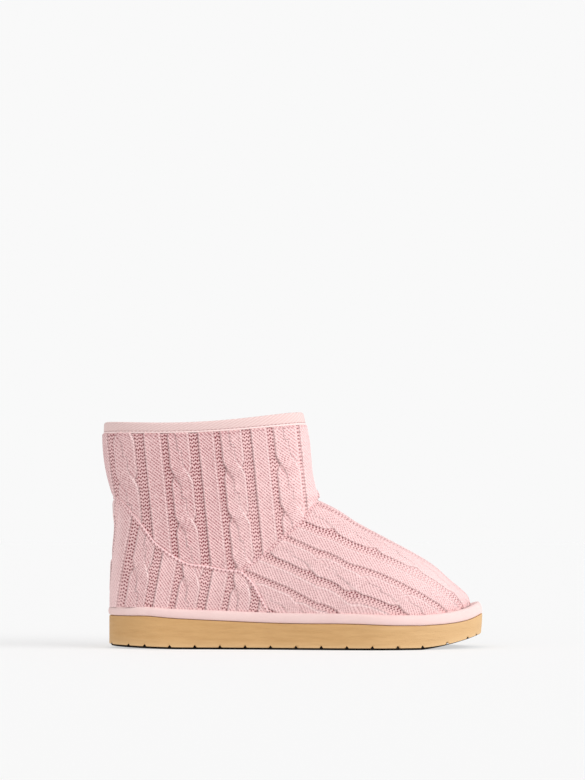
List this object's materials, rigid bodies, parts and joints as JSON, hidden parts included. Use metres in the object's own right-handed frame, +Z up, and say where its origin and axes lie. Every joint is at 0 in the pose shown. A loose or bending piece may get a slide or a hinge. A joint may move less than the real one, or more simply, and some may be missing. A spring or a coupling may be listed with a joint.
{
  "type": "ankle boot",
  "caption": "Cable-knit ankle boot with a pull-on shaft, folded collar binding, fabric-wrapped midsole and a thick foam outsole with transverse tread grooves.",
  "frame": {"origin": "on the floor, under the middle of the boot's outline", "axes": "+X towards the toe, +Z up, the outer side of the foot faces -Y"},
  "size_m": [0.2748, 0.098, 0.1697],
  "materials": {
    "foam": "matte moulded foam",
    "wrap_fabric": "fine smooth weave",
    "footbed": "short soft pile",
    "knit": "chunky cable knit with a light fuzz",
    "tape": "twill tape"
  },
  "bodies": {
    "root": {"outsole": "foam", "midsole": "wrap_fabric", "insole": "footbed", "upper": "knit", "collar_binding": "tape"}
  },
  "joints": []
}
